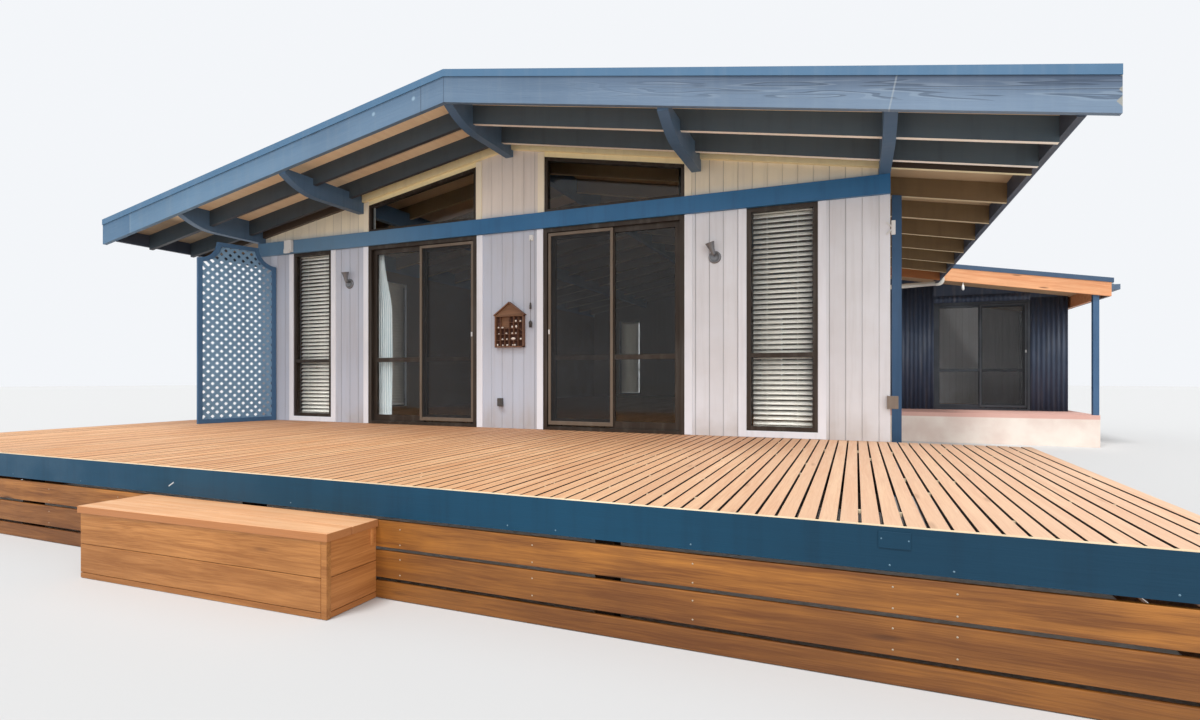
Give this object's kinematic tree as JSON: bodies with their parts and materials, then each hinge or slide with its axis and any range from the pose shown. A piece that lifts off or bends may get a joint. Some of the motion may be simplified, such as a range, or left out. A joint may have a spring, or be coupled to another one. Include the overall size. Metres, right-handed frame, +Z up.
{
  "type": "beach house",
  "caption": "Gabled timber beach house on a raised deck, with beams under wide eaves, sliding doors, raked windows, a lattice screen and a lower rear wing.",
  "frame": {"origin": "on the ground, under the ridge line and the outer face of the front wall", "axes": "+X to the right along the front wall, +Y back through the house, +Z up"},
  "size_m": [12.28, 15.058, 3.9203],
  "materials": {
    "white_paint": "painted vertical boards",
    "cream_paint": "cream painted timber",
    "blue_paint": "mid blue painted timber",
    "weathered_blue": "sun bleached blue painted timber",
    "navy_paint": "dark navy painted timber",
    "band_blue": "dark blue painted timber",
    "roof_metal": "coated corrugated roof sheet",
    "cap_metal": "light blue coated flashing",
    "lining": "tan painted ceiling lining",
    "rafter_paint": "brown stained rafters",
    "orange_timber": "orange oiled timber",
    "deck_timber": "oiled deck boards",
    "skirt_timber": "treated pine boards",
    "bronze_frame": "dark bronze anodised frames",
    "clear_glass": "clear window glass",
    "fly_mesh": "charcoal fly screen",
    "blind_white": "white slatted blinds",
    "corrugated_navy": "dark blue corrugated cladding",
    "concrete": "pinkish concrete",
    "base_boards": "dark painted base",
    "floor_boards": "timber floor",
    "fitting_metal": "grey coated lamps",
    "fitting_white": "white plastic fittings",
    "shelf_wood": "dark stained shelf",
    "gutter_metal": "coated gutter",
    "pipe_white": "white pipe",
    "curtain_cloth": "pale blue cotton curtain"
  },
  "bodies": {
    "house": {"house_base": "base_boards", "main_floor": "floor_boards", "wing_slab": "concrete", "front_wall": "white_paint", "gable_rakes": "cream_paint", "head_beam": "blue_paint", "blue_posts": "blue_paint", "side_walls": "white_paint", "rear_wall": "white_paint", "wing_front_wall": "corrugated_navy", "wing_side_wall": "corrugated_navy", "wall_infills": "white_paint", "wing_infills": "corrugated_navy", "roof_beams": "blue_paint", "front_rafters": "navy_paint", "roof_rafters": "rafter_paint", "roof_panels": "lining", "roof_sheets": "roof_metal", "ridge_cap": "cap_metal", "barge_boards": "weathered_blue", "roof_caps": "cap_metal", "side_fascias": "navy_paint", "gutters": "gutter_metal", "porch_timbers": "orange_timber", "downpipe": "pipe_white", "deck_floor": "deck_timber", "deck_bearers": "skirt_timber", "deck_stumps": "skirt_timber", "deck_band": "band_blue", "deck_skirt": "skirt_timber", "step_top": "deck_timber", "step_box": "skirt_timber", "lattice_screen": "blue_paint", "wall_lights": "fitting_metal", "letter_shelf": "shelf_wood", "wall_fittings": "fitting_white", "door_frames": "bronze_frame", "fixed_sashes": "bronze_frame", "window_frames": "bronze_frame", "window_panes": "clear_glass", "blinds": "blind_white", "curtain_track": "fitting_white", "curtain": "curtain_cloth"},
    "left_slider_body": {"left_slider": "bronze_frame", "left_slider_pane": "clear_glass"},
    "right_slider_body": {"right_slider": "bronze_frame", "right_slider_pane": "clear_glass"},
    "wing_slider_body": {"wing_slider": "bronze_frame", "wing_slider_pane": "clear_glass"},
    "left_flyscreen_body": {"left_flyscreen": "fly_mesh"},
    "right_flyscreen_body": {"right_flyscreen": "fly_mesh"},
    "wing_flyscreen_body": {"wing_flyscreen": "fly_mesh"}
  },
  "joints": [
    {"name": "left_slider_slide", "type": "slide", "parent": "house", "child": "left_slider_body", "axis": [-1, 0, 0], "range_m": [0, 0.684]},
    {"name": "left_flyscreen_slide", "type": "slide", "parent": "house", "child": "left_flyscreen_body", "axis": [-1, 0, 0], "range_m": [0, 0.684]},
    {"name": "right_slider_slide", "type": "slide", "parent": "house", "child": "right_slider_body", "axis": [1, 0, 0], "range_m": [0, 0.684]},
    {"name": "right_flyscreen_slide", "type": "slide", "parent": "house", "child": "right_flyscreen_body", "axis": [1, 0, 0], "range_m": [0, 0.684]},
    {"name": "wing_slider_slide", "type": "slide", "parent": "house", "child": "wing_slider_body", "axis": [-1, 0, 0], "range_m": [0, 0.714]},
    {"name": "wing_flyscreen_slide", "type": "slide", "parent": "house", "child": "wing_flyscreen_body", "axis": [-1, 0, 0], "range_m": [0, 0.714]}
  ]
}
